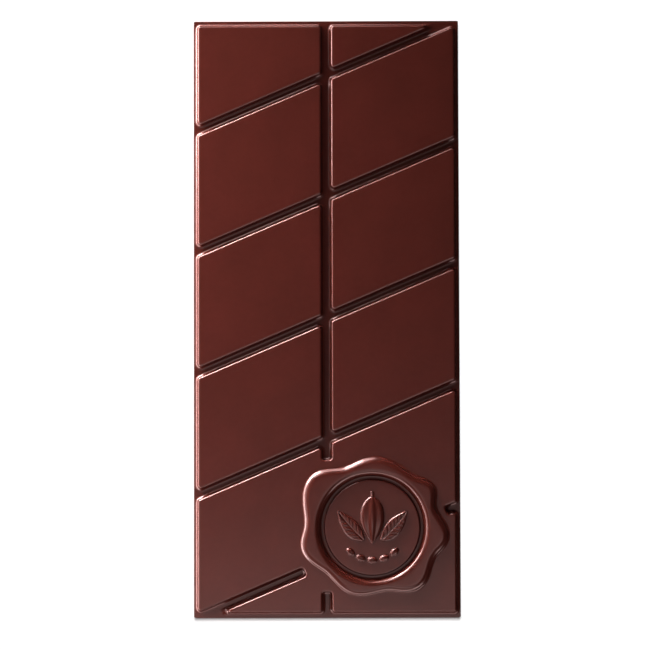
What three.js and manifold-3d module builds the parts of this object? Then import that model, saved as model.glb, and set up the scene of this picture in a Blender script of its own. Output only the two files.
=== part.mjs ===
// A bar of dark chocolate, cast in one piece: a thin slab with slanting tablets between narrow grooves,
// and a round wax-seal medallion on the large panel at its lower end.
//
// Millimetres, +Z up. The bar lies on its flat back with the relief upwards and its length along Y.
// The origin is under the middle of the back, and the medallion is towards -Y and +X.

import * as THREE from 'three';
import { mergeVertices } from 'three/addons/utils/BufferGeometryUtils.js';
import Module from 'manifold-3d';

// The bar as a whole.
const LENGTH = 160;
const WIDTH = 71;
const SLAB_HEIGHT = 5.4;
const RELIEF_HEIGHT = 1.8;
const FACE_HEIGHT = SLAB_HEIGHT + RELIEF_HEIGHT;

// The slab narrows upwards, so that the bar leaves its mould, and its edges are slightly worn.
const SLAB_CORNER_RADIUS = 0.6;
const SLAB_SIDE_DRAFT = 0.08;
const SLAB_END_DRAFT = 0.3;
const SLAB_EDGE = 0.15;

// The grooves: one along the middle, and slanting ones at an even pitch that rise to the right.
const GROOVE_HALF_WIDTH = 1.84;
const GROOVE_PITCH = 32.42;
const GROOVE_SLOPE = 0.427;

// A wall of the relief: a wide hollow round at its foot, a short steep stretch and a round at its top.
const WALL_ANGLE = THREE.MathUtils.degToRad(79);
const FOOT_ROUND = 0.95;
const TOP_ROUND = 0.48;
const ROUND_STEPS = 3;
const WALL_INSET = (FOOT_ROUND + TOP_ROUND) * Math.sin(WALL_ANGLE)
  + (RELIEF_HEIGHT - (FOOT_ROUND + TOP_ROUND) * (1 - Math.cos(WALL_ANGLE))) / Math.tan(WALL_ANGLE);
const BURIED = 0.4;

// Where the walls stand on the slab: beside the outline, and either side of a groove's flat floor.
const FLOOR_HALF_WIDTH = GROOVE_HALF_WIDTH - WALL_INSET;
const FOOT_X = WIDTH / 2 - 0.17;
const FOOT_Y = LENGTH / 2 - 0.77;

// Plan radii of the relief's corners, at the foot of the wall and at the face.
const CORNER = { foot: 1.85, face: 0.32 };
const SHARP_CORNER = { foot: 1.1, face: 0.12 };
const SLOT_CORNER = { foot: 0.27, face: 1.25 };
const CORNER_STEPS = 4;

// How far the four blind slots reach into the panel, where their ends meet the face.
const UPPER_SLOT_END = -38.4;
const LOWER_SLOT_END = -72.3;
const LEFT_SLOT_END = -5.5;
const RIGHT_SLOT_END = 31.1;

// The medallion: a lobed blob of an even height.
const SEAL_CENTRE = new THREE.Vector2(12.0, -55.8);
const SEAL_HEIGHT = 1.0;
const SEAL_TOP = FACE_HEIGHT + SEAL_HEIGHT;
const SEAL_SHOULDER = 1.0;
const SEAL_STEPS = 108;

// The blob's shoulder in section: shares of its half width, outwards, and of its height.
const SHOULDER_SECTION = [[0.87, 0], [0.45, 0.17], [0.05, 0.48], [-0.5, 0.84], [-1.25, 1]];

// The stamped hollow: a rim rounded in section, a ring groove and the disc inside it.
const HOLLOW_RADIUS = 15.4;
const RING_OUTER_RADIUS = 13.5;
const RING_INNER_RADIUS = 12.9;
const RING_FLOOR = FACE_HEIGHT - 0.8;
const DISC_RADIUS = 12.2;
const DISC_HEIGHT = FACE_HEIGHT + 0.05;
const HOLLOW_STEPS = 60;

// The sides of the ring groove in section: shares of their width, outwards, and of their height.
const RIM_SECTION = [[0, 0], [0.17, 0.15], [0.36, 0.57], [0.55, 0.83], [0.76, 0.955], [1, 1]];
const DISC_SECTION = [[0, 1], [0.5, 0.83], [0.7, 0.52], [1, 0]];

// The blob's lobes and hollows in turn: angle in degrees, and radius halfway up its shoulder.
const SEAL_LOBES = [
  [17, 17.3], [34, 19.3], [54, 17.2], [86, 18.2], [113, 17.1], [142, 20.85], [177, 17.6],
  [198, 19.3], [226, 16.95], [252, 18.2], [281, 16.9], [309, 20.1], [333, 18.1], [352, 20.0],
];

// The relief on the disc: a ridged cocoa pod between two leaves, over a row of beans.
const POD_LENGTH = 12.4;
const POD_WIDTH = 6.4;
const POD_RISE = 0.75;
const POD_CENTRE = new THREE.Vector2(0, 1.9);
const POD_RIDGES = 5;
const POD_RIDGE_RISE = 0.09;
const POD_TAPER = 0.16;
const POD_POINT = 0.06;
const LEAF_LENGTH = 10.2;
const LEAF_WIDTH = 4.2;
const LEAF_RISE = 0.42;
const LEAF_ROOT = new THREE.Vector2(2.3, -3.4);
const LEAF_NARROWING = 0.35;
const LEAF_TURN = THREE.MathUtils.degToRad(48);
const BEAN_COUNT = 5;
const BEAN_LENGTH = 2.5;
const BEAN_WIDTH = 1.6;
const BEAN_RISE = 0.45;
const BEAN_CIRCLE = 8.7;
const BEAN_SPREAD = THREE.MathUtils.degToRad(21);
const SUNK = 0.3;

const wasm = await Module();
wasm.setup();

// A closed mesh through rings of equally many points, listed from the lowest to the highest.
function loft(rings) {
  const count = rings[0].length;
  const positions = rings.flat().flatMap((point) => [point.x, point.y, point.z]);
  const index = [];
  for (let level = 0; level < rings.length - 1; level += 1) {
    for (let i = 0; i < count; i += 1) {
      const a = level * count + i;
      const b = level * count + (i + 1) % count;
      index.push(a, b, b + count, a, b + count, a + count);
    }
  }
  const lastRing = (rings.length - 1) * count;
  for (const [i, j, k] of THREE.ShapeUtils.triangulateShape(rings[0], [])) {
    index.push(k, j, i);
  }
  for (const [i, j, k] of THREE.ShapeUtils.triangulateShape(rings[rings.length - 1], [])) {
    index.push(lastRing + i, lastRing + j, lastRing + k);
  }
  const geometry = new THREE.BufferGeometry();
  geometry.setAttribute('position', new THREE.Float32BufferAttribute(positions, 3));
  geometry.setIndex(index);
  return geometry;
}

function solid(geometry) {
  const bare = geometry.clone();
  bare.deleteAttribute('normal');
  bare.deleteAttribute('uv');
  const merged = mergeVertices(bare, 1e-4);
  return new wasm.Manifold(new wasm.Mesh({
    numProp: 3,
    vertProperties: new Float32Array(merged.attributes.position.array),
    triVerts: new Uint32Array(merged.index.array),
  }));
}

function raise(outline, height) {
  return outline.map((point) => new THREE.Vector3(point.x, point.y, height));
}

function unitNormal(from, to) {
  return new THREE.Vector2(to.y - from.y, from.x - to.x).normalize();
}

// The outline of a piece of the relief, a given way up its wall. The corners run anticlockwise. Each
// side moves inwards by the inset, and each corner's radius goes from its foot to its face value.
function reliefOutline(corners, inset) {
  const share = inset / WALL_INSET;
  const outline = [];
  corners.forEach((corner, i) => {
    const before = corners[(i + corners.length - 1) % corners.length];
    const after = corners[(i + 1) % corners.length];
    const normalIn = unitNormal(before, corner);
    const normalOut = unitNormal(corner, after);
    const both = normalIn.clone().add(normalOut);
    const lean = 1 + normalIn.dot(normalOut);
    const turn = Math.sign(normalIn.cross(normalOut));
    const radius = THREE.MathUtils.lerp(corner.radius.foot, corner.radius.face, share);
    const centre = new THREE.Vector2(corner.x, corner.y).addScaledVector(both, -(inset + turn * radius) / lean);
    const start = normalIn.angle();
    const sweep = Math.atan2(normalIn.cross(normalOut), normalIn.dot(normalOut));
    for (let step = 0; step <= CORNER_STEPS; step += 1) {
      const angle = start + sweep * step / CORNER_STEPS;
      outline.push(new THREE.Vector2(
        centre.x + turn * radius * Math.cos(angle),
        centre.y + turn * radius * Math.sin(angle),
      ));
    }
  });
  return outline;
}

// The wall in section, from its foot to the face: how far in, and how far up.
function wallSection() {
  const section = [];
  for (let step = 0; step <= ROUND_STEPS; step += 1) {
    const angle = WALL_ANGLE * step / ROUND_STEPS;
    section.push([FOOT_ROUND * Math.sin(angle), FOOT_ROUND * (1 - Math.cos(angle))]);
  }
  for (let step = ROUND_STEPS; step >= 0; step -= 1) {
    const angle = WALL_ANGLE * step / ROUND_STEPS;
    section.push([
      WALL_INSET - TOP_ROUND * Math.sin(angle),
      RELIEF_HEIGHT - TOP_ROUND * (1 - Math.cos(angle)),
    ]);
  }
  return section;
}

// A tablet or panel of the relief, from a little inside the slab up to its face.
function reliefPiece(corners) {
  const rings = [raise(reliefOutline(corners, 0), SLAB_HEIGHT - BURIED)];
  for (const [inset, rise] of wallSection()) {
    rings.push(raise(reliefOutline(corners, inset), SLAB_HEIGHT + rise));
  }
  return solid(loft(rings));
}

function corner(x, y, radius = CORNER) {
  return { x, y, radius };
}

// The height of a slanting groove's middle line at x. Groove 0 passes through the bar's middle.
function grooveMiddle(number, x) {
  return number * GROOVE_PITCH + GROOVE_SLOPE * x;
}

// Half the flat floor of a slanting groove, measured along Y.
const SLANTED_HALF_FLOOR = FLOOR_HALF_WIDTH * Math.hypot(1, GROOVE_SLOPE);

function aboveGroove(number, x) {
  return grooveMiddle(number, x) + SLANTED_HALF_FLOOR;
}

function belowGroove(number, x) {
  return grooveMiddle(number, x) - SLANTED_HALF_FLOOR;
}

// A tablet between two slanting grooves, from one x to another.
function tablet(lower, x0, x1) {
  return reliefPiece([
    corner(x0, aboveGroove(lower, x0)),
    corner(x1, aboveGroove(lower, x1)),
    corner(x1, belowGroove(lower + 1, x1)),
    corner(x0, belowGroove(lower + 1, x0)),
  ]);
}

function leftEndTablet() {
  return reliefPiece([
    corner(-FOOT_X, aboveGroove(2, -FOOT_X)),
    corner(-FLOOR_HALF_WIDTH, aboveGroove(2, -FLOOR_HALF_WIDTH)),
    corner(-FLOOR_HALF_WIDTH, FOOT_Y),
    corner(-FOOT_X, FOOT_Y),
  ]);
}

function rightEndTablet() {
  const tip = (FOOT_Y - aboveGroove(2, 0)) / GROOVE_SLOPE;
  return reliefPiece([
    corner(FLOOR_HALF_WIDTH, aboveGroove(2, FLOOR_HALF_WIDTH)),
    corner(tip, FOOT_Y, SHARP_CORNER),
    corner(FLOOR_HALF_WIDTH, FOOT_Y),
  ]);
}

// The two corners at the blind end of a slanting slot, on its upper and its lower side. The end is
// square to the slot, and faceX is where it meets the face on the slot's middle line.
function slantedEnd(faceX, towards) {
  const along = new THREE.Vector2(1, GROOVE_SLOPE).normalize();
  const middle = new THREE.Vector2(faceX, grooveMiddle(-2, faceX)).addScaledVector(along, towards * WALL_INSET);
  const across = new THREE.Vector2(-along.y, along.x).multiplyScalar(FLOOR_HALF_WIDTH);
  const upper = middle.clone().add(across);
  const lower = middle.clone().sub(across);
  return [corner(upper.x, upper.y, SLOT_CORNER), corner(lower.x, lower.y, SLOT_CORNER)];
}

// The large panel below the last whole groove, with four blind slots from its edges.
function panel() {
  const half = FLOOR_HALF_WIDTH;
  const lowerTip = (-FOOT_Y - belowGroove(-2, 0)) / GROOVE_SLOPE;
  const [leftUpper, leftLower] = slantedEnd(LEFT_SLOT_END, -1);
  const [rightUpper, rightLower] = slantedEnd(RIGHT_SLOT_END, 1);
  return reliefPiece([
    corner(-FOOT_X, aboveGroove(-2, -FOOT_X)),
    leftUpper,
    leftLower,
    corner(lowerTip, -FOOT_Y, SHARP_CORNER),
    corner(-half, -FOOT_Y),
    corner(-half, LOWER_SLOT_END - WALL_INSET, SLOT_CORNER),
    corner(half, LOWER_SLOT_END - WALL_INSET, SLOT_CORNER),
    corner(half, -FOOT_Y),
    corner(FOOT_X, -FOOT_Y),
    corner(FOOT_X, belowGroove(-2, FOOT_X)),
    rightLower,
    rightUpper,
    corner(FOOT_X, aboveGroove(-2, FOOT_X)),
    corner(FOOT_X, belowGroove(-1, FOOT_X)),
    corner(half, belowGroove(-1, half)),
    corner(half, UPPER_SLOT_END + WALL_INSET, SLOT_CORNER),
    corner(-half, UPPER_SLOT_END + WALL_INSET, SLOT_CORNER),
    corner(-half, belowGroove(-1, -half)),
    corner(-FOOT_X, belowGroove(-1, -FOOT_X)),
  ]);
}

function slabOutline(sideInset, endInset) {
  const x = WIDTH / 2 - sideInset;
  const y = LENGTH / 2 - endInset;
  const radius = SLAB_CORNER_RADIUS - sideInset;
  const shape = new THREE.Shape();
  shape.absarc(x - radius, y - radius, radius, 0, Math.PI / 2);
  shape.absarc(-x + radius, y - radius, radius, Math.PI / 2, Math.PI);
  shape.absarc(-x + radius, -y + radius, radius, Math.PI, Math.PI * 1.5);
  shape.absarc(x - radius, -y + radius, radius, Math.PI * 1.5, Math.PI * 2);
  return shape.getPoints(CORNER_STEPS);
}

function slab() {
  return solid(loft([
    raise(slabOutline(SLAB_EDGE, SLAB_EDGE), 0),
    raise(slabOutline(0, 0), SLAB_EDGE),
    raise(slabOutline(SLAB_SIDE_DRAFT, SLAB_END_DRAFT), SLAB_HEIGHT - SLAB_EDGE),
    raise(slabOutline(SLAB_SIDE_DRAFT + SLAB_EDGE / 3, SLAB_END_DRAFT + SLAB_EDGE), SLAB_HEIGHT),
  ]));
}

// The blob's radius halfway up its shoulder: from lobe to hollow and back in cosine waves.
function sealRadius(angle) {
  const degrees = THREE.MathUtils.euclideanModulo(THREE.MathUtils.radToDeg(angle), 360);
  const count = SEAL_LOBES.length;
  for (let i = 0; i < count; i += 1) {
    const [start, startRadius] = SEAL_LOBES[i];
    const [end, endRadius] = SEAL_LOBES[(i + 1) % count];
    const width = THREE.MathUtils.euclideanModulo(end - start, 360);
    const along = THREE.MathUtils.euclideanModulo(degrees - start, 360);
    if (along <= width) {
      const wave = (1 - Math.cos(Math.PI * along / width)) / 2;
      return THREE.MathUtils.lerp(startRadius, endRadius, wave);
    }
  }
  return SEAL_LOBES[0][1];
}

// The blob's outline, moved outwards or inwards square to its edge.
function sealOutline(outwards) {
  const outline = [];
  const slight = 0.01;
  for (let i = 0; i < SEAL_STEPS; i += 1) {
    const angle = 2 * Math.PI * i / SEAL_STEPS;
    const radius = sealRadius(angle);
    const growth = (sealRadius(angle + slight) - sealRadius(angle - slight)) / (2 * slight);
    const point = new THREE.Vector2(Math.cos(angle), Math.sin(angle)).multiplyScalar(radius);
    const normal = new THREE.Vector2(radius, -growth).normalize().rotateAround(new THREE.Vector2(), angle);
    outline.push(point.addScaledVector(normal, outwards).add(SEAL_CENTRE));
  }
  return outline;
}

function sealBlob() {
  const rings = [raise(sealOutline(SEAL_SHOULDER), FACE_HEIGHT - BURIED)];
  for (const [out, up] of SHOULDER_SECTION) {
    rings.push(raise(sealOutline(SEAL_SHOULDER * out), FACE_HEIGHT + SEAL_HEIGHT * up));
  }
  return solid(loft(rings));
}

// What the stamp presses out of the blob: a hollow with a rounded rim, a ring groove and a flat disc.
function sealHollow() {
  const { lerp } = THREE.MathUtils;
  const profile = [
    new THREE.Vector2(0, DISC_HEIGHT),
  ];
  for (const [out, up] of DISC_SECTION) {
    const radius = lerp(DISC_RADIUS, RING_INNER_RADIUS, out);
    profile.push(new THREE.Vector2(radius, lerp(RING_FLOOR, DISC_HEIGHT, up)));
  }
  for (const [out, up] of RIM_SECTION) {
    const radius = lerp(RING_OUTER_RADIUS, HOLLOW_RADIUS, out);
    profile.push(new THREE.Vector2(radius, lerp(RING_FLOOR, SEAL_TOP, up)));
  }
  profile.push(new THREE.Vector2(HOLLOW_RADIUS, SEAL_TOP + SEAL_HEIGHT));
  profile.push(new THREE.Vector2(0, SEAL_TOP + SEAL_HEIGHT));
  const geometry = new THREE.LatheGeometry(profile, HOLLOW_STEPS);
  geometry.rotateX(Math.PI / 2);
  geometry.translate(SEAL_CENTRE.x, SEAL_CENTRE.y, 0);
  return solid(geometry);
}

// A low mound on the disc: half of a flattened sphere, shaped by a function of its own.
function mound(shape, acrossSteps, alongSteps) {
  const geometry = new THREE.SphereGeometry(1, acrossSteps, alongSteps);
  const position = geometry.attributes.position;
  const point = new THREE.Vector3();
  for (let i = 0; i < position.count; i += 1) {
    point.fromBufferAttribute(position, i);
    shape(point);
    position.setXYZ(i, point.x, point.y, point.z);
  }
  return geometry;
}

function place(geometry, turn, x, y) {
  geometry.rotateZ(turn);
  geometry.translate(SEAL_CENTRE.x + x, SEAL_CENTRE.y + y, DISC_HEIGHT);
  return solid(geometry);
}

// The pod: blunt at its stalk end, pointed at the other, with ridges along it.
function pod() {
  const geometry = mound((point) => {
    const angle = Math.atan2(point.z, point.x);
    const ridge = 1 + POD_RIDGE_RISE * Math.cos(2 * POD_RIDGES * (angle - Math.PI / 2));
    const taper = 1 + POD_TAPER * point.y;
    point.x *= POD_WIDTH / 2 * ridge * taper;
    point.z *= (point.z > 0 ? POD_RISE : SUNK) * ridge;
    point.y *= POD_LENGTH / 2 * (1 - Math.sign(point.y) * POD_POINT);
  }, 40, 12);
  return place(geometry, 0, POD_CENTRE.x, POD_CENTRE.y);
}

// A leaf: a pointed oval with a low crest along its middle, side is 1 on the right and -1 on the left.
function leaf(side) {
  const geometry = mound((point) => {
    const belly = 1 - LEAF_NARROWING * point.y * point.y;
    point.x *= LEAF_WIDTH / 2 * belly;
    point.z *= point.z > 0 ? LEAF_RISE : SUNK;
    point.y = (point.y + 1) * LEAF_LENGTH / 2;
  }, 12, 8);
  return place(geometry, -side * LEAF_TURN, side * LEAF_ROOT.x, LEAF_ROOT.y);
}

function bean(number) {
  const angle = (number - (BEAN_COUNT - 1) / 2) * BEAN_SPREAD;
  const geometry = mound((point) => {
    point.x *= BEAN_LENGTH / 2;
    point.y *= BEAN_WIDTH / 2;
    point.z *= point.z > 0 ? BEAN_RISE : SUNK;
  }, 10, 6);
  return place(geometry, angle, BEAN_CIRCLE * Math.sin(angle), -BEAN_CIRCLE * Math.cos(angle));
}

function barSolid() {
  let bar = slab().add(panel()).add(leftEndTablet()).add(rightEndTablet());
  for (let lower = -1; lower <= 1; lower += 1) {
    bar = bar.add(tablet(lower, -FOOT_X, -FLOOR_HALF_WIDTH));
    bar = bar.add(tablet(lower, FLOOR_HALF_WIDTH, FOOT_X));
  }
  bar = bar.add(sealBlob()).subtract(sealHollow());
  bar = bar.add(pod()).add(leaf(1)).add(leaf(-1));
  for (let number = 0; number < BEAN_COUNT; number += 1) {
    bar = bar.add(bean(number));
  }
  return bar;
}

function barGeometry() {
  const mesh = barSolid().getMesh();
  const geometry = new THREE.BufferGeometry();
  geometry.setAttribute('position', new THREE.Float32BufferAttribute(mesh.vertProperties, 3));
  geometry.setIndex(new THREE.Uint32BufferAttribute(mesh.triVerts, 1));
  geometry.computeVertexNormals();
  return geometry;
}

const darkChocolate = new THREE.MeshStandardMaterial({ color: 0x562820, roughness: 0.38, metalness: 0 });

const chocolateBar = new THREE.Mesh(barGeometry(), darkChocolate);
chocolateBar.name = 'chocolate_bar';

const group = new THREE.Group();
group.add(chocolateBar);

export default group;
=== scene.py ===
import math

import bmesh
import bpy
from mathutils import Matrix, Vector, noise


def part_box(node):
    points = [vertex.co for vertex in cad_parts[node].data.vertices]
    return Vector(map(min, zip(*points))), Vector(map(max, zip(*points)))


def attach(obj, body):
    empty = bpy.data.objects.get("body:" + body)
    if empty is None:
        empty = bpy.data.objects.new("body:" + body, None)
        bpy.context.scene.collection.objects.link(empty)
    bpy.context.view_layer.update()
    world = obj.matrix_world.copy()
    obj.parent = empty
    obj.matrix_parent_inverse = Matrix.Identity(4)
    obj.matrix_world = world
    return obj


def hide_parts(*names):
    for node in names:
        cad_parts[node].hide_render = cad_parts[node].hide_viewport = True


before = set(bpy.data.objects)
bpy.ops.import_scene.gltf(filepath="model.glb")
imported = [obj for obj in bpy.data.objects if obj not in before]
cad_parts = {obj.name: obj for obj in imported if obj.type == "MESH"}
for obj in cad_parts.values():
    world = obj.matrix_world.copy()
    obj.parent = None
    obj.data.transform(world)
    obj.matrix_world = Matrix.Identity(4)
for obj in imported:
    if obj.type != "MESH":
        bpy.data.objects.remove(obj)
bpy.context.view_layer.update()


# The slab is the bar's flat base, as wide and long as the bar itself. It is cast upside down, so it narrows
# upwards and its back is the side that was open to the air: flat, with a faint ripple inside its rim.
mm = 0.001
low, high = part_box("chocolate_bar")
half_width = (high.x - low.x) / 2
half_length = (high.y - low.y) / 2
seal_height = 1.0 * mm
face_height = high.z - seal_height
relief_height = 1.8 * mm
slab_height = face_height - relief_height
slab_corner_radius = 0.6 * mm
slab_corner_cells = 4
slab_cell = 1.0 * mm
side_draft = 0.08 * mm
end_draft = 0.3 * mm
back_edge_round = 0.22 * mm
top_edge_round = 0.15 * mm
edge_steps = 4
seam_gap = 0.0005 * mm
back_ripple = 0.09 * mm
back_rim_width = 2.2 * mm
ripple_size = 9.0 * mm


def start_piece(name):
    """Names the primitive that was just added and opens it for editing, with all of it selected."""
    piece = bpy.context.object
    piece.name = name
    piece.data.name = name
    bpy.ops.object.mode_set(mode="EDIT")
    bpy.ops.mesh.select_mode(type="VERT")
    return piece


def finish_piece(piece):
    """Closes the mesh's seams, points its faces outwards and leaves edit mode."""
    bpy.ops.mesh.select_all(action="SELECT")
    bpy.ops.mesh.remove_doubles(threshold=seam_gap)
    bpy.ops.mesh.normals_make_consistent(inside=False)
    bpy.ops.object.mode_set(mode="OBJECT")
    return piece


def extrude_through(piece, rings):
    """Extrudes what is selected through rings of places. A point knows its place in a ring by its order."""
    for ring in rings:
        bpy.ops.mesh.extrude_region_move()
        edited = bmesh.from_edit_mesh(piece.data)
        order = edited.verts.layers.int["order"]
        for vert in edited.verts:
            if vert.select:
                vert.co = ring[vert[order]]
        bmesh.update_edit_mesh(piece.data)


def grid_line(number, cells, half):
    """Where a grid line lies: closely spaced within a corner's radius of each end, and even between."""
    if number > cells / 2:
        return -grid_line(cells - number, cells, half)
    if number <= slab_corner_cells:
        return -half + slab_corner_radius * number / slab_corner_cells
    inner = half - slab_corner_radius
    share = (number - slab_corner_cells) / (cells - 2 * slab_corner_cells)
    return -inner + 2 * inner * share


def corner_centre(place):
    """The nearest point of the rectangle through the centres of the slab's rounded corners."""
    return Vector((
        max(-half_width + slab_corner_radius, min(half_width - slab_corner_radius, place.x)),
        max(-half_length + slab_corner_radius, min(half_length - slab_corner_radius, place.y)),
        0,
    ))


def round_the_corner(place):
    """Presses a square corner's grid into the rounded corner."""
    centre = corner_centre(place)
    away = place - centre
    if away.x and away.y:
        away *= max(abs(away.x), abs(away.y)) / away.length
    return centre + away


def back_rise(place):
    """How far the back is hollowed upwards from the surface that it lies on."""
    to_edge = min(half_width - abs(place.x), half_length - abs(place.y))
    fade = max(0.0, min(1.0, to_edge / back_rim_width - 0.3))
    wave = noise.noise(place / ripple_size) + 0.4 * noise.noise(place / ripple_size * 2.7)
    return back_ripple * fade * fade * (3 - 2 * fade) * max(0.0, 0.55 + 0.5 * wave)


def slab_ring(centres, directions, side_inset, end_inset, height):
    """The slab's outline at one height, moved inwards at its sides and at its ends."""
    reach_x = slab_corner_radius - side_inset
    reach_y = slab_corner_radius - end_inset
    return [
        Vector((centre.x + way.x * reach_x, centre.y + way.y * reach_y, height))
        for centre, way in zip(centres, directions)
    ]


def make_slab():
    """Lays a grid out as the back and extrudes its rim up the sides to the top."""
    cells_x = round((2 * half_width - 2 * slab_corner_radius) / slab_cell) + 2 * slab_corner_cells
    cells_y = round((2 * half_length - 2 * slab_corner_radius) / slab_cell) + 2 * slab_corner_cells
    bpy.ops.object.select_all(action="DESELECT")
    bpy.ops.mesh.primitive_grid_add(x_subdivisions=cells_x, y_subdivisions=cells_y, size=2)
    slab = start_piece("slab")
    edited = bmesh.from_edit_mesh(slab.data)
    order = edited.verts.layers.int.new("order")
    rim = []
    for vert in edited.verts:
        column = round((vert.co.x + 1) / 2 * cells_x)
        row = round((vert.co.y + 1) / 2 * cells_y)
        square = Vector((grid_line(column, cells_x, half_width), grid_line(row, cells_y, half_length), 0))
        vert.co = round_the_corner(square)
        vert.co.z = back_rise(vert.co)
        if column in (0, cells_x) or row in (0, cells_y):
            rim.append(vert)
    centres = [corner_centre(vert.co) for vert in rim]
    directions = [(vert.co - centre).normalized() for vert, centre in zip(rim, centres)]
    first = slab_ring(centres, directions, back_edge_round, back_edge_round, 0)
    for vert in edited.verts:
        vert.select_set(False)
    for number, vert in enumerate(rim):
        vert[order] = number
        vert.co = first[number]
        vert.select_set(True)
    edited.select_flush(True)
    bmesh.update_edit_mesh(slab.data)

    rings = []
    for step in range(1, edge_steps + 1):
        angle = math.pi / 2 * step / edge_steps
        inset = back_edge_round * (1 - math.sin(angle))
        rings.append(slab_ring(centres, directions, inset, inset, back_edge_round * (1 - math.cos(angle))))
    for step in range(edge_steps + 1):
        angle = math.pi / 2 * step / edge_steps
        inset = top_edge_round * (1 - math.cos(angle))
        height = slab_height - top_edge_round * (1 - math.sin(angle))
        rings.append(slab_ring(centres, directions, side_draft + inset / 3, end_draft + inset, height))
    extrude_through(slab, rings)
    bpy.ops.mesh.edge_face_add()
    return finish_piece(slab)


slab = make_slab()


# The tablets are the raised pieces that the bar breaks into. They stand in two columns, between one groove
# along the bar and slanting ones at an even pitch, with steep walls that have a wide round at the foot. The
# upper wall of a slanting groove stands a little nearer to the groove's middle line than the lower one.
groove_half_width = 1.84 * mm
groove_pitch = 32.42 * mm
groove_slope = 0.427
upper_side_in = 0.16 * mm
wall_angle = math.radians(79)
foot_round = 0.95 * mm
top_round = 0.48 * mm
round_steps = 7
buried = 0.4 * mm
top_band = 0.1 * mm
foot_x = half_width - 0.17 * mm
foot_y = half_length - 0.77 * mm
plain_corner = (1.85 * mm, 0.32 * mm)
sharp_corner = (1.1 * mm, 0.12 * mm)
slot_corner = (0.22 * mm, 1.25 * mm)
corner_steps = 12


def section_width(foot, top, angle, height):
    """How wide a wall is in plan: its two rounds and the straight stretch between them."""
    rounds = foot + top
    return rounds * math.sin(angle) + (height - rounds * (1 - math.cos(angle))) / math.tan(angle)


def wall_section(foot, top, angle, height, steps):
    """A wall in section from its foot to its top: pairs of how far in and how far up."""
    width = section_width(foot, top, angle, height)
    turns = [angle * step / steps for step in range(steps + 1)]
    rising = [(foot * math.sin(turn), foot * (1 - math.cos(turn))) for turn in turns]
    levelling = [(width - top * math.sin(turn), height - top * (1 - math.cos(turn))) for turn in turns]
    return rising + levelling[::-1]


wall_width = section_width(foot_round, top_round, wall_angle, relief_height)
floor_half_width = groove_half_width - wall_width
upper_half_floor = floor_half_width - upper_side_in
slant = math.hypot(1, groove_slope)


def side_normal(start, end):
    """The way outwards from a side of an outline that runs anticlockwise."""
    return Vector((end.y - start.y, start.x - end.x)).normalized()


def relief_outline(corners, inset):
    """The outline of a raised piece, a given way up its wall. Corners run anticlockwise, each with its place
    and its radius at the foot and at the face."""
    share = min(1.0, inset / wall_width)
    outline = []
    for number, (place, (foot_radius, face_radius)) in enumerate(corners):
        before = corners[number - 1][0]
        after = corners[(number + 1) % len(corners)][0]
        normal_in = side_normal(before, place)
        normal_out = side_normal(place, after)
        across = normal_in.cross(normal_out)
        level = normal_in.dot(normal_out)
        turn = math.copysign(1, across)
        radius = foot_radius + (face_radius - foot_radius) * share
        centre = place - (normal_in + normal_out) * (inset + turn * radius) / (1 + level)
        start = math.atan2(normal_in.y, normal_in.x)
        sweep = math.atan2(across, level)
        for step in range(corner_steps + 1):
            angle = start + sweep * step / corner_steps
            outline.append(centre + turn * radius * Vector((math.cos(angle), math.sin(angle))))
    return outline


def relief_piece(name, corners):
    """Raises a piece from a little inside the slab up to its face, ring by ring."""
    levels = [(0, -buried)] + wall_section(foot_round, top_round, wall_angle, relief_height, round_steps)
    levels.append((wall_width + top_band, relief_height))
    rings = []
    for inset, rise in levels:
        outline = relief_outline(corners, inset)
        rings.append([Vector((point.x, point.y, slab_height + rise)) for point in outline])
    bpy.ops.object.select_all(action="DESELECT")
    bpy.ops.mesh.primitive_circle_add(vertices=len(rings[0]), fill_type="NGON")
    piece = start_piece(name)
    edited = bmesh.from_edit_mesh(piece.data)
    order = edited.verts.layers.int.new("order")
    for number, vert in enumerate(edited.verts):
        vert[order] = number
        vert.co = rings[0][number]
    bmesh.update_edit_mesh(piece.data)
    extrude_through(piece, rings[1:])
    return finish_piece(piece)


def corner(x, y, radii=plain_corner):
    """A corner's place at the foot of the wall, and its radii at the foot and at the face."""
    return Vector((x, y)), radii


def groove_middle(number, x):
    """The middle line of a slanting groove. Groove 0 passes through the bar's middle."""
    return number * groove_pitch + groove_slope * x


def above_groove(number, x):
    """Where the foot of the wall above a slanting groove runs."""
    return groove_middle(number, x) + upper_half_floor * slant


def below_groove(number, x):
    """Where the foot of the wall below a slanting groove runs."""
    return groove_middle(number, x) - floor_half_width * slant


tablets = [
    relief_piece("left_end_tablet", [
        corner(-foot_x, above_groove(2, -foot_x)),
        corner(-floor_half_width, above_groove(2, -floor_half_width)),
        corner(-floor_half_width, foot_y),
        corner(-foot_x, foot_y),
    ]),
    relief_piece("right_end_tablet", [
        corner(floor_half_width, above_groove(2, floor_half_width)),
        corner((foot_y - above_groove(2, 0)) / groove_slope, foot_y, sharp_corner),
        corner(floor_half_width, foot_y),
    ]),
]
for side, (x0, x1) in {"left": (-foot_x, -floor_half_width), "right": (floor_half_width, foot_x)}.items():
    for lower in (-1, 0, 1):
        tablets.append(relief_piece(f"{side}_tablet_{lower + 2}", [
            corner(x0, above_groove(lower, x0)),
            corner(x1, above_groove(lower, x1)),
            corner(x1, below_groove(lower + 1, x1)),
            corner(x0, below_groove(lower + 1, x0)),
        ]))


# The panel is the large raised piece at the lower end that carries the medallion. The grooves run on into it
# as four blind slots, from above, from below and from both sides, each with a rounded end.
upper_slot_end = -38.4 * mm
lower_slot_end = -72.3 * mm
left_slot_end = -5.5 * mm
right_slot_end = 31.1 * mm


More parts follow.
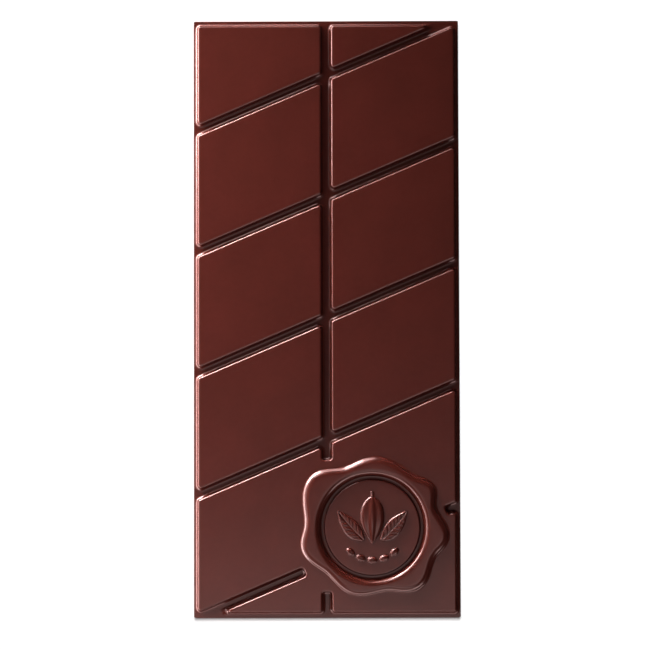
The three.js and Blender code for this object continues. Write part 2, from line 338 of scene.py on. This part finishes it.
def slanted_end(face_x, towards):
    """The upper and lower corner at a slanting slot's blind end, which meets the face at face_x."""
    along = Vector((1, groove_slope)).normalized()
    middle = Vector((face_x, groove_middle(-2, face_x))) + along * towards * wall_width
    across = Vector((-along.y, along.x))
    upper = middle + across * upper_half_floor
    lower = middle - across * floor_half_width
    return (upper, slot_corner), (lower, slot_corner)


left_upper, left_lower = slanted_end(left_slot_end, -1)
right_upper, right_lower = slanted_end(right_slot_end, 1)
panel = relief_piece("panel", [
    corner(-foot_x, above_groove(-2, -foot_x)),
    left_upper,
    left_lower,
    corner((-foot_y - below_groove(-2, 0)) / groove_slope, -foot_y, sharp_corner),
    corner(-floor_half_width, -foot_y),
    corner(-floor_half_width, lower_slot_end - wall_width, slot_corner),
    corner(floor_half_width, lower_slot_end - wall_width, slot_corner),
    corner(floor_half_width, -foot_y),
    corner(foot_x, -foot_y),
    corner(foot_x, below_groove(-2, foot_x)),
    right_lower,
    right_upper,
    corner(foot_x, above_groove(-2, foot_x)),
    corner(foot_x, below_groove(-1, foot_x)),
    corner(floor_half_width, below_groove(-1, floor_half_width)),
    corner(floor_half_width, upper_slot_end + wall_width, slot_corner),
    corner(-floor_half_width, upper_slot_end + wall_width, slot_corner),
    corner(-floor_half_width, below_groove(-1, -floor_half_width)),
    corner(-foot_x, below_groove(-1, -foot_x)),
])


# The medallion is cast in one with the panel, in the form of a pressed wax seal: a lobed blob with a round
# hollow, a ring groove and a flat disc. On the disc is a low relief of a cocoa pod, two leaves and beans.
seal_centre = Vector((12.0 * mm, -55.8 * mm, 0))
seal_steps = 360
shoulder_rounds = (0.9 * mm, 1.9 * mm)
shoulder_angle = math.radians(45)
shoulder_foot_share = 0.4
seal_root = 1.5 * mm
seat_radius = 15.0 * mm
seat_depth = 1.2 * mm
seat_sides = 180
crown_steps = 5
rim_radius = 15.5 * mm
rim_rounds = (0.45 * mm, 1.55 * mm)
rim_angle = math.radians(66)
ring_floor = face_height - 0.8 * mm
ring_floor_steps = 2
disc_foot_radius = 12.93 * mm
disc_height = face_height + 0.15 * mm
disc_rounds = (0.15 * mm, 0.3 * mm)
disc_angle = math.radians(75)
disc_steps = 78
seal_round_steps = 7
# Angle in degrees and radius in mm of each lobe and of each dip between two lobes, halfway up the shoulder.
seal_lobes = [
    (17, 17.3), (34, 19.3), (54, 17.2), (86, 18.2), (113, 17.1), (142, 20.85), (177, 17.6),
    (198, 19.3), (226, 16.95), (252, 18.2), (281, 16.9), (309, 20.1), (333, 18.1), (352, 20.0),
]


def seal_radius(angle):
    """The blob's radius halfway up its shoulder, in cosine waves from lobe to dip and back."""
    degrees = math.degrees(angle) % 360
    for number, (start, start_radius) in enumerate(seal_lobes):
        end, end_radius = seal_lobes[(number + 1) % len(seal_lobes)]
        width = (end - start) % 360
        along = (degrees - start) % 360
        if along <= width:
            wave = (1 - math.cos(math.pi * along / width)) / 2
            return (start_radius + (end_radius - start_radius) * wave) * mm
    return seal_lobes[0][1] * mm


def seal_edge(angle, outwards):
    """A point of the blob's outline, moved outwards square to its edge."""
    slight = 0.01
    radius = seal_radius(angle)
    growth = (seal_radius(angle + slight) - seal_radius(angle - slight)) / (2 * slight)
    ray = Vector((math.cos(angle), math.sin(angle)))
    normal = (ray * radius + Vector((ray.y, -ray.x)) * growth).normalized()
    return ray * radius + normal * outwards


pod_half_length = 6.2 * mm
pod_half_width = 3.1 * mm
pod_rise = 0.82 * mm
pod_middle = 1.9 * mm
ridges_round_pod = 7
ridge_depth = 0.26
stalk_rise = 0.38 * mm
stalk_half_width = 0.55 * mm
stalk_start = 0.9
stalk_end = 1.22
leaf_length = 10.4 * mm
leaf_half_width = 2.15 * mm
leaf_rise = 0.66 * mm
leaf_root = Vector((2.2 * mm, -3.5 * mm))
leaf_turn = math.radians(48)
leaf_curl = 1.1 * mm
midrib_depth = 0.22 * mm
midrib_half_width = 0.17 * mm
vein_depth = 0.16 * mm
vein_pitch = 1.35 * mm
vein_slant = 0.9
bean_half_length = 1.3 * mm
bean_half_width = 0.82 * mm
bean_rise = 0.7 * mm
bean_circle = 8.7 * mm
bean_spread = math.radians(21)
bean_numbers = (-2, -1, 0, 1, 2)
crease_depth = 0.16
crease_half_width = 0.16


def pod_relief(x, y):
    """The pod: broad at its stalk end, pointed below, with ridges along it."""
    t = (y - pod_middle) / pod_half_length
    stalk = 0.0
    if stalk_start < t < stalk_end:
        stalk = stalk_rise * max(0.0, 1 - abs(x) / stalk_half_width)
    if abs(t) >= 1:
        return stalk
    ends = (1 - abs(t) ** 2.3) ** 0.62 if t > 0 else (1 - abs(t) ** 1.8) ** 0.95
    u = x / (pod_half_width * ends * (1 + 0.1 * t))
    if abs(u) >= 1:
        return stalk
    ridges = 1 - ridge_depth * (0.5 - 0.5 * math.cos(ridges_round_pod * math.asin(u))) * (1 - u * u)
    return max(stalk, pod_rise * (1 - u * u) ** 0.42 * (0.35 + 0.65 * ends) * ridges)


def leaf_relief(x, y):
    """A leaf on the right: a pointed oval that curls upwards, with a midrib and slanting veins."""
    from_root = Vector((x, y)) - leaf_root
    along = from_root.x * math.sin(leaf_turn) + from_root.y * math.cos(leaf_turn)
    s = along / leaf_length
    if not 0 < s < 1:
        return 0.0
    across = from_root.x * math.cos(leaf_turn) - from_root.y * math.sin(leaf_turn) + leaf_curl * s * s
    half = leaf_half_width * math.sin(math.pi * s ** 0.85) ** 0.8
    if abs(across) >= half:
        return 0.0
    v = abs(across) / half
    body = leaf_rise * (1 - v ** 4) ** 0.5 * (0.75 + 0.25 * v)
    midrib = midrib_depth * math.exp(-((across / midrib_half_width) ** 2))
    vein = 0.5 + 0.5 * math.cos(2 * math.pi * (along - vein_slant * abs(across)) / vein_pitch)
    return body - midrib - vein_depth * vein ** 6 * min(1.0, 4 * v * (1 - v))


def bean_relief(x, y):
    """A row of beans along the disc's lower edge, each with a shallow crease."""
    tallest = 0.0
    for number in bean_numbers:
        turn = number * bean_spread
        dx = x - bean_circle * math.sin(turn)
        dy = y + bean_circle * math.cos(turn)
        along = (dx * math.cos(turn) + dy * math.sin(turn)) / bean_half_length
        across = (-dx * math.sin(turn) + dy * math.cos(turn)) / bean_half_width
        level = along * along + across * across
        if level < 1:
            crease = crease_depth * math.exp(-((across / crease_half_width) ** 2)) * (1 - along * along)
            tallest = max(tallest, bean_rise * ((1 - level) ** 0.45 - crease))
    return tallest


def disc_relief(x, y):
    """How far the relief stands proud of the disc at a point measured from the disc's middle."""
    return max(0.0, pod_relief(x, y), leaf_relief(abs(x), y), bean_relief(x, y))


def seal_section():
    """The medallion's rings from the outer skirt inwards: each is a function of the angle."""
    foot, top = shoulder_rounds
    width = section_width(foot, top, shoulder_angle, seal_height)
    foot_out = shoulder_foot_share * width
    rings = [lambda angle: (*seal_edge(angle, foot_out), face_height - seal_root)]

    def shoulder_ring(inset, rise):
        return lambda angle: (*seal_edge(angle, foot_out - inset), face_height + rise)

    def crown_ring(share):
        def ring(angle):
            outer = seal_edge(angle, foot_out - width)
            inner = Vector((math.cos(angle), math.sin(angle))) * rim_radius
            return (*outer.lerp(inner, share), face_height + seal_height)
        return ring

    def round_ring(radius, height):
        return lambda angle: (radius * math.cos(angle), radius * math.sin(angle), height)

    def disc_ring(radius):
        def ring(angle):
            x, y = radius * math.cos(angle), radius * math.sin(angle)
            return x, y, disc_height + disc_relief(x, y)
        return ring

    for inset, rise in wall_section(foot, top, shoulder_angle, seal_height, seal_round_steps):
        rings.append(shoulder_ring(inset, rise))
    for step in range(1, crown_steps):
        rings.append(crown_ring(step / crown_steps))
    hollow_depth = face_height + seal_height - ring_floor
    hollow_wall = wall_section(*rim_rounds, rim_angle, hollow_depth, seal_round_steps)
    rim_width = section_width(*rim_rounds, rim_angle, hollow_depth)
    for inset, rise in reversed(hollow_wall):
        rings.append(round_ring(rim_radius - rim_width + inset, ring_floor + rise))
    ring_outer = rim_radius - rim_width
    for step in range(1, ring_floor_steps):
        radius = ring_outer + (disc_foot_radius - ring_outer) * step / ring_floor_steps
        rings.append(round_ring(radius, ring_floor))
    disc_wall = wall_section(*disc_rounds, disc_angle, disc_height - ring_floor, seal_round_steps)
    for inset, rise in disc_wall:
        rings.append(round_ring(disc_foot_radius - inset, ring_floor + rise))
    disc_radius = disc_foot_radius - section_width(*disc_rounds, disc_angle, disc_height - ring_floor)
    for step in range(1, disc_steps + 1):
        rings.append(disc_ring(disc_radius * (1 - step / disc_steps)))
    return rings


def make_medallion():
    """Wraps a grid round the section's rings, merges its seam and its middle, and closes its root."""
    rings = seal_section()
    bpy.ops.object.select_all(action="DESELECT")
    bpy.ops.mesh.primitive_grid_add(x_subdivisions=seal_steps, y_subdivisions=len(rings) - 1, size=2)
    medallion = start_piece("medallion")
    edited = bmesh.from_edit_mesh(medallion.data)
    for vert in edited.verts:
        column = round((vert.co.x + 1) / 2 * seal_steps) % seal_steps
        row = round((vert.co.y + 1) / 2 * (len(rings) - 1))
        vert.co = Vector(rings[row](2 * math.pi * column / seal_steps)) + seal_centre
        vert.select_set(row == 0)
    edited.select_flush(True)
    bmesh.update_edit_mesh(medallion.data)
    bpy.ops.mesh.select_all(action="SELECT")
    bpy.ops.mesh.remove_doubles(threshold=seam_gap)
    bpy.ops.mesh.select_all(action="DESELECT")
    bpy.ops.mesh.select_non_manifold()
    bpy.ops.mesh.edge_face_add()
    return finish_piece(medallion)


def cut_seat(panel):
    """Cuts a round seat for the medallion's root into the panel, so that the ring groove stays open."""
    bpy.ops.object.select_all(action="DESELECT")
    bpy.ops.mesh.primitive_cylinder_add(
        vertices=seat_sides, radius=seat_radius, depth=2 * seat_depth,
        location=(seal_centre.x, seal_centre.y, face_height))
    cutter = bpy.context.object
    bpy.context.view_layer.objects.active = panel
    seat = panel.modifiers.new("seat", "BOOLEAN")
    seat.operation = "DIFFERENCE"
    seat.solver = "MANIFOLD"
    seat.object = cutter
    bpy.ops.object.modifier_apply(modifier=seat.name)
    bpy.data.objects.remove(cutter)


medallion = make_medallion()
cut_seat(panel)


# The bar is one casting, so its slab, tablets, panel and medallion are joined into one closed mesh. It is
# dark chocolate all through: glossy where it met the mould, and duller with small pinholes on its back.
smooth_angle = math.radians(40)
large_face_weight = 60
darker_brown = (48, 21, 16)
lighter_brown = (59, 26, 21)
mould_side_roughness = (0.2, 0.23)
back_roughness = (0.42, 0.6)
wave_height = 0.02 * mm
grain_height = 0.0012 * mm
back_roughening = 0.05 * mm
# The heights in mm between which the back's finish fades into that of the sides.
back_finish_ends = (0.12, 0.24)


def join_casting(slab, parts):
    """Joins the parts to the slab as one closed mesh, and removes them."""
    group = bpy.data.collections.new("casting")
    bpy.context.scene.collection.children.link(group)
    for part in parts:
        group.objects.link(part)
    bpy.ops.object.select_all(action="DESELECT")
    bpy.context.view_layer.objects.active = slab
    slab.select_set(True)
    union = slab.modifiers.new("union", "BOOLEAN")
    union.operation = "UNION"
    union.solver = "MANIFOLD"
    union.operand_type = "COLLECTION"
    union.collection = group
    bpy.ops.object.modifier_apply(modifier=union.name)
    for part in parts:
        bpy.data.objects.remove(part)
    bpy.data.collections.remove(group)
    return slab


bar = join_casting(slab, tablets + [panel, medallion])
bar.name = "moulded_bar"
bar.data.name = "moulded_bar"
bpy.ops.object.shade_smooth_by_angle(angle=smooth_angle)
even_faces = bar.modifiers.new("even_faces", "WEIGHTED_NORMAL")
even_faces.mode = "FACE_AREA"
even_faces.weight = large_face_weight
even_faces.keep_sharp = True
bpy.ops.object.modifier_apply(modifier=even_faces.name)


def add_node(tree, kind, inputs=(), **settings):
    """Adds a node, sets its properties, and fills its inputs with values or with other nodes' outputs."""
    node = tree.nodes.new(kind)
    for name, value in settings.items():
        setattr(node, name, value)
    for name, value in dict(inputs).items():
        if isinstance(value, bpy.types.NodeSocket):
            tree.links.new(value, node.inputs[name])
        else:
            node.inputs[name].default_value = value
    return node


def colour(red, green, blue):
    """A colour for a shader, from the numbers that a picture program shows for it."""
    def linear(value):
        value /= 255
        return value / 12.92 if value <= 0.04045 else ((value + 0.055) / 1.055) ** 2.4
    return linear(red), linear(green), linear(blue), 1


def chocolate_finish():
    """Dark chocolate, patterned in millimetres on the piece's own coordinates."""
    material = bpy.data.materials.new("dark_chocolate")
    material.use_nodes = True
    tree = material.node_tree
    tree.nodes.clear()
    place = add_node(tree, "ShaderNodeTexCoord").outputs["Object"]
    in_mm = add_node(tree, "ShaderNodeMapping", {"Vector": place, "Scale": (1000, 1000, 1000)}).outputs[0]

    cloud = add_node(tree, "ShaderNodeTexNoise", {
        "Vector": in_mm, "Scale": 0.09, "Detail": 3.0, "Roughness": 0.5}).outputs["Fac"]
    mottle = add_node(tree, "ShaderNodeTexNoise", {
        "Vector": in_mm, "Scale": 0.7, "Detail": 4.0, "Roughness": 0.6}).outputs["Fac"]
    grain = add_node(tree, "ShaderNodeTexNoise", {
        "Vector": in_mm, "Scale": 4.5, "Detail": 2.0, "Roughness": 0.6}).outputs["Fac"]
    specks = add_node(tree, "ShaderNodeTexVoronoi", {
        "Vector": in_mm, "Scale": 0.9, "Randomness": 1.0}).outputs["Distance"]

    brown = add_node(tree, "ShaderNodeMix", {
        "Factor": cloud, "A": colour(*darker_brown), "B": colour(*lighter_brown)}, data_type="RGBA")
    mottled = add_node(tree, "ShaderNodeMapRange", {
        "Value": mottle, "From Min": 0.3, "From Max": 0.7, "To Min": 0.96, "To Max": 1.04})
    speckled = add_node(tree, "ShaderNodeMapRange", {
        "Value": specks, "From Min": 0.05, "From Max": 0.12, "To Min": 0.9, "To Max": 1.0})
    tone = add_node(tree, "ShaderNodeMath", {0: mottled.outputs[0], 1: speckled.outputs[0]},
                    operation="MULTIPLY").outputs[0]
    body = add_node(tree, "ShaderNodeVectorMath", {
        0: brown.outputs["Result"], "Scale": tone}, operation="SCALE")

    height = add_node(tree, "ShaderNodeSeparateXYZ", {"Vector": in_mm}).outputs["Z"]
    is_back = add_node(tree, "ShaderNodeMapRange", {
        "Value": height, "From Min": back_finish_ends[0], "From Max": back_finish_ends[1],
        "To Min": 1.0, "To Max": 0.0}).outputs[0]
    streaks = add_node(tree, "ShaderNodeTexNoise", {
        "Vector": add_node(tree, "ShaderNodeMapping", {
            "Vector": in_mm, "Scale": (1.0, 0.12, 1.0)}).outputs[0],
        "Scale": 0.6, "Detail": 4.0}).outputs["Fac"]
    pinholes = add_node(tree, "ShaderNodeTexVoronoi", {"Vector": in_mm, "Scale": 0.28}).outputs["Distance"]

    polish = add_node(tree, "ShaderNodeMapRange", {
        "Value": mottle, "From Min": 0.3, "From Max": 0.7,
        "To Min": mould_side_roughness[0], "To Max": mould_side_roughness[1]}).outputs[0]
    dull = add_node(tree, "ShaderNodeMapRange", {
        "Value": streaks, "From Min": 0.3, "From Max": 0.7,
        "To Min": back_roughness[0], "To Max": back_roughness[1]}).outputs[0]
    roughness = add_node(tree, "ShaderNodeMix", {
        "Factor": is_back, "A": polish, "B": dull}).outputs["Result"]

    waves = add_node(tree, "ShaderNodeTexNoise", {
        "Vector": in_mm, "Scale": 0.16, "Detail": 2.0}).outputs["Fac"]
    gentle = add_node(tree, "ShaderNodeBump", {"Height": waves, "Strength": 1.0, "Distance": wave_height})
    fine = add_node(tree, "ShaderNodeBump", {
        "Height": grain, "Normal": gentle.outputs[0], "Strength": 1.0, "Distance": grain_height})
    pits = add_node(tree, "ShaderNodeMapRange", {
        "Value": pinholes, "From Min": 0.03, "From Max": 0.1, "To Min": 0.0, "To Max": 1.0}).outputs[0]
    back_bump = add_node(tree, "ShaderNodeMath", {0: streaks, 1: pits}, operation="ADD").outputs[0]
    back_level = add_node(tree, "ShaderNodeMath", {
        0: back_bump, 1: is_back}, operation="MULTIPLY").outputs[0]
    rough_back = add_node(tree, "ShaderNodeBump", {
        "Height": back_level, "Normal": fine.outputs[0], "Strength": 1.0, "Distance": back_roughening})

    shader = add_node(tree, "ShaderNodeBsdfPrincipled", {
        "Base Color": body.outputs[0], "Roughness": roughness, "Normal": rough_back.outputs[0], "IOR": 1.5})
    add_node(tree, "ShaderNodeOutputMaterial", {"Surface": shader.outputs[0]})
    return material


bar.data.materials.clear()
bar.data.materials.append(chocolate_finish())
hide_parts("chocolate_bar")
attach(bar, "root")


# The bar lies on a plain white table of matt board. A slight glow and a panel of light of its own make it
# bright enough to lose its edges in the picture, and the chocolate doesn't mirror it.
floor_size = 6.0
table_white = (0.8, 0.8, 0.8, 1)
table_roughness = 0.7
table_glow = 0.28


def table_finish():
    material = bpy.data.materials.new("white_table")
    material.use_nodes = True
    shader = material.node_tree.nodes["Principled BSDF"]
    shader.inputs["Base Color"].default_value = table_white
    shader.inputs["Roughness"].default_value = table_roughness
    shader.inputs["Emission Color"].default_value = (1, 1, 1, 1)
    shader.inputs["Emission Strength"].default_value = table_glow
    return material


bpy.ops.object.select_all(action="DESELECT")
bpy.ops.mesh.primitive_plane_add(size=floor_size)
table = bpy.context.object
table.name = "table"
table.data.materials.append(table_finish())
table.visible_glossy = False


# The light comes from soft panels. Warm ones low at the bar's left and upper sides draw the bright lines
# along its rounds, and those past its lower end and overhead give that end a sheen. They light the bar
# alone, and a white one lights the table.
warm = (1, 0.68, 0.65)
white = (1, 1, 1)
wide_open = 180
wide_grid = 38
narrow_grid = 30


def around(azimuth, elevation, distance=0.5):
    """A place at an angle round the bar's middle and above the table, as seen from that middle."""
    turn = math.radians(azimuth)
    lift = math.radians(elevation)
    reach = distance * math.cos(lift)
    return reach * math.cos(turn), reach * math.sin(turn), distance * math.sin(lift)


# Each panel's place, the point that it faces, its size across and along in metres, its power in watts and
# the angle of its beam in degrees.
bar_panels = {
    "left_strip": ((-0.10, 0.03, 0.0045), (0, 0.03, 0.0045), (0.35, 0.007), 0.25, wide_open),
    "left_low_panel": ((-0.09, 0.03, 0.0145), (0, 0.03, 0.0065), (0.36, 0.010), 0.361, wide_open),
    "left_middle_panel": ((-0.13, 0.03, 0.047), (0, 0.03, 0), (0.40, 0.025), 0.11, wide_open),
    "left_panel": ((-0.13, 0.03, 0.09), (0, 0.03, 0), (0.40, 0.04), 0.22, wide_open),
    "upper_left_low_panel": (around(150, 10, 0.22), (0, 0.02, 0), (0.12, 0.04), 1.04, wide_open),
    "upper_low_panel": (around(125, 10, 0.35), (-0.05, 0.02, 0), (0.16, 0.06), 0.20, narrow_grid),
    "upper_left_panel": (around(133, 36, 0.35), (0, 0.02, 0), (0.34, 0.08), 0.12, wide_open),
    "upper_left_grid_panel": (around(128, 36, 0.35), (-0.055, -0.025, 0), (0.20, 0.08), 0.055, wide_grid),
    "upper_panel": (around(100, 12, 0.4), (0, 0.02, 0), (0.16, 0.08), 0.78, wide_open),
    "high_left_panel": ((-0.30, 0.05, 0.85), (0, 0, 0), (0.30, 0.25), 0.08, wide_open),
    "lower_left_panel": (around(240, 15), (0, 0, 0), (0.25, 0.14), 0.97, wide_open),
    "lower_panel": (around(270, 12), (0, 0, 0), (0.25, 0.12), 0.571, wide_open),
    "lower_right_panel": (around(300, 20), (0, 0, 0), (0.25, 0.16), 0.785, wide_open),
    "lower_high_panel": (around(270, 52), (0, 0, 0), (0.25, 0.20), 0.352, wide_open),
    "overhead_panel": ((0, -0.17, 0.98), (0, -0.17, 0), (0.6, 0.12), 0.64, wide_open),
}
table_panel = ((0, 0.085, 0.95), (0, 0, 0), (0.12, 0.17), 9.4, wide_open)
room_light = 0.01


def soft_panel(name, place, aim, size, power, beam, tint, lit):
    """A rectangular light that faces a point and lights one object."""
    light = bpy.data.lights.new(name, "AREA")
    light.shape = "RECTANGLE"
    light.size, light.size_y = size
    light.energy = power
    light.spread = math.radians(beam)
    light.color = tint
    panel_light = bpy.data.objects.new(name, light)
    bpy.context.scene.collection.objects.link(panel_light)
    panel_light.location = place
    panel_light.rotation_mode = "QUATERNION"
    panel_light.rotation_quaternion = (Vector(place) - Vector(aim)).to_track_quat("Z", "Y")
    panel_light.visible_camera = False
    receivers = bpy.data.collections.new(name + "_lights")
    receivers.objects.link(lit)
    panel_light.light_linking.receiver_collection = receivers


for name, values in bar_panels.items():
    soft_panel(name, *values, warm, bar)
soft_panel("table_panel", *table_panel, white, table)
world = bpy.data.worlds.new("dim_room")
bpy.context.scene.world = world
world.use_nodes = True
world.node_tree.nodes["Background"].inputs["Color"].default_value = (1, 1, 1, 1)
world.node_tree.nodes["Background"].inputs["Strength"].default_value = room_light


# The camera stands over the bar, a little towards its lower end, and looks almost straight down on it
# through a long lens.
camera_distance = 0.85
camera_tilt = math.radians(3.043)
camera_yaw = math.radians(-0.345)
camera_roll = math.radians(0.153)
focal_pixels = 3178.16
picture_side = 650
picture_centre = (326.64, 318.27)
sensor_width = 36

camera_data = bpy.data.cameras.new("camera")
camera = bpy.data.objects.new("camera", camera_data)
bpy.context.scene.collection.objects.link(camera)
forward = Vector((math.sin(camera_yaw), math.sin(camera_tilt), -1)).normalized()
right = forward.cross(Vector((math.sin(camera_roll), math.cos(camera_roll), 0))).normalized()
up = right.cross(forward)
camera_place = Vector((0, 0, face_height / 2)) - forward * camera_distance
camera_turn = Matrix((right, up, -forward)).transposed().to_4x4()
camera.matrix_world = Matrix.Translation(camera_place) @ camera_turn
camera_data.sensor_width = sensor_width
camera_data.lens = focal_pixels / picture_side * sensor_width
camera_data.shift_x = (picture_side / 2 - picture_centre[0]) / picture_side
camera_data.shift_y = (picture_centre[1] - picture_side / 2) / picture_side
camera_data.clip_start = 0.01
camera_data.clip_end = 10
bpy.context.scene.camera = camera
bpy.context.scene.view_settings.view_transform = "Standard"
